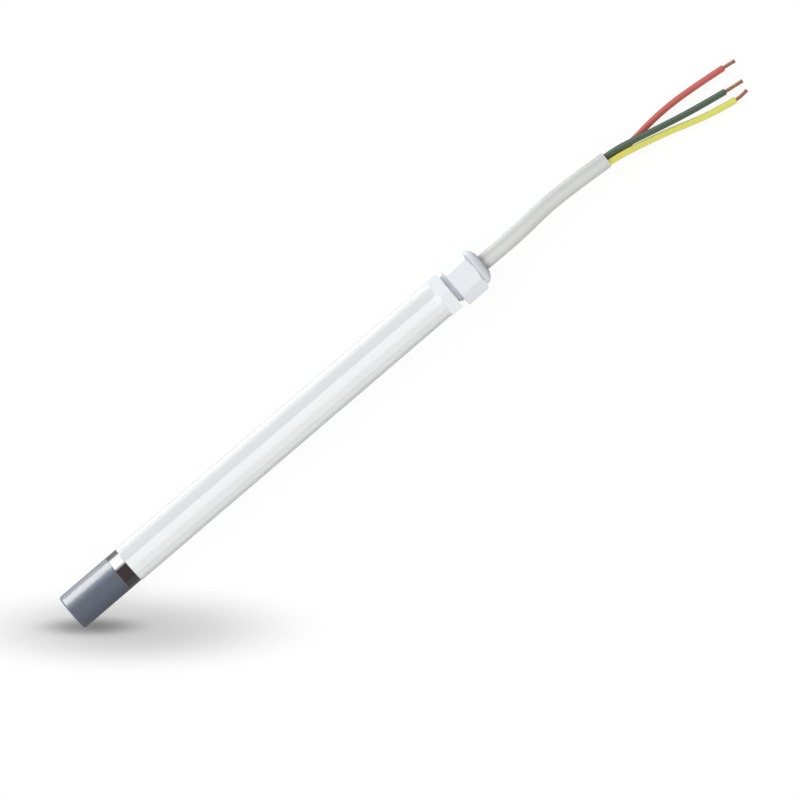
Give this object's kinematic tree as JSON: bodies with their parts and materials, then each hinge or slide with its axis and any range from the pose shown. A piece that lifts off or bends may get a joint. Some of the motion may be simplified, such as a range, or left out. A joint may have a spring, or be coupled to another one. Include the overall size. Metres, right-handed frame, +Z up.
{
  "type": "pipe temperature and humidity probe",
  "caption": "Round white pipe probe for temperature and humidity, with a sintered filter cap on a plated ring, a hexagonal cable gland and a short grey lead with bared cores.",
  "frame": {"origin": "on the table, under the middle of the stem: the stem's middle along X, its axis in Y, and the level of the two hexagon corners that it lies on", "axes": "+X along the stem from the filter tip to the gland and the lead, +Z up from the table, +Y to the left seen from the filter tip towards the lead"},
  "size_m": [0.317, 0.0239, 0.0172],
  "materials": {
    "sintered_steel": "sintered, fine even grain, satin",
    "plated_brass": "bright chrome plate",
    "white_plastic": "moulded and extruded, glossy white",
    "black_rubber": "smooth",
    "plug_plastic": "moulded",
    "potting_resin": "poured",
    "board_laminate": "solder mask over glass laminate",
    "sensor_body": "moulded",
    "chip_ceramic": "fired",
    "component_plastic": "moulded",
    "capacitor_can": "drawn can",
    "terminal_plastic": "moulded",
    "plated_contact": "tin plate",
    "jacket_grey": "extruded, satin",
    "core_red": "extruded",
    "core_green": "extruded",
    "core_yellow": "extruded",
    "bare_copper": "twisted bare copper strands"
  },
  "bodies": {
    "probe": {"probe_tube": "white_plastic", "gland_body": "white_plastic", "front_gasket": "black_rubber", "plug_seal": "black_rubber", "gland_o_ring": "black_rubber", "gland_seal": "black_rubber", "sensor_plug": "plug_plastic", "board_saddle_front": "plug_plastic", "board_saddle_rear": "plug_plastic", "potting": "potting_resin", "sensor_board": "board_laminate", "main_board": "board_laminate", "humidity_element": "sensor_body", "temperature_element": "chip_ceramic", "chip_components": "chip_ceramic", "board_socket": "component_plastic", "signal_amplifier": "component_plastic", "processor": "component_plastic", "power_inductor": "component_plastic", "voltage_regulator": "component_plastic", "buffer_capacitors": "capacitor_can", "terminal_block": "terminal_plastic", "socket_contacts": "plated_contact", "terminal_screws": "plated_contact", "cable_jacket": "jacket_grey", "inner_wire_red": "core_red", "core_red": "core_red", "inner_wire_green": "core_green", "core_green": "core_green", "inner_wire_yellow": "core_yellow", "core_yellow": "core_yellow", "strands_red": "bare_copper", "strands_green": "bare_copper", "strands_yellow": "bare_copper"},
    "filter_cap": {"filter_cup": "sintered_steel", "filter_ring": "plated_brass"},
    "gland_nut": {"gland_nut": "white_plastic"}
  },
  "joints": [
    {"name": "filter_cap_pull", "type": "slide", "parent": "probe", "child": "filter_cap", "axis": [-1, 0, 0], "range_m": [0, 0.045]},
    {"name": "gland_nut_turn", "type": "hinge", "parent": "probe", "child": "gland_nut", "pos_m": [0.0908, 0, 0.00861], "axis": [1, 0, 0], "range_deg": [-360, 1080]}
  ]
}
